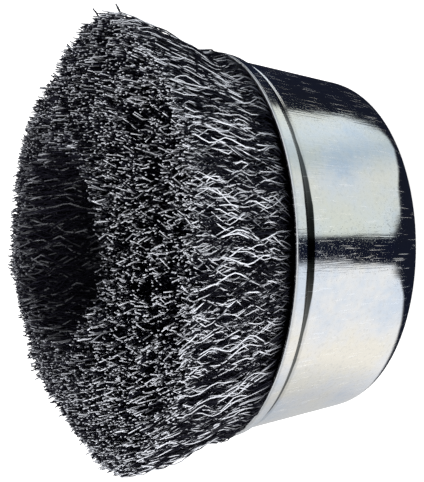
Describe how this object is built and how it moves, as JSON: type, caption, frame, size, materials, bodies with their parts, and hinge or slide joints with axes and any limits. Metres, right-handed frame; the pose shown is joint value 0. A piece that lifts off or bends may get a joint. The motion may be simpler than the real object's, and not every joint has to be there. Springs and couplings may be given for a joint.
{
  "type": "wire cup brush",
  "caption": "Crimped wire cup brush: flared steel wires round an open hollow, held in a plated drawn steel cup with a threaded spindle nut.",
  "frame": {"origin": "centre of the peened seat ring on the cup's back, on the brush's axis", "axes": "+Z along the spindle axis, from the back towards the wire face"},
  "size_m": [0.1014, 0.1015, 0.0761],
  "materials": {
    "plated_cup": "bright zinc plate with fine drawing marks",
    "inner_plate": "satin zinc plate",
    "nut_steel": "machined, zinc plated",
    "ring_steel": "drawn wire",
    "spring_wire": "dark oiled spring steel wire, crimped"
  },
  "bodies": {
    "root": {"cup": "plated_cup", "inner_cup": "inner_plate", "spindle_nut": "nut_steel", "keeper_ring": "ring_steel", "wire_fill": "spring_wire"}
  },
  "joints": []
}
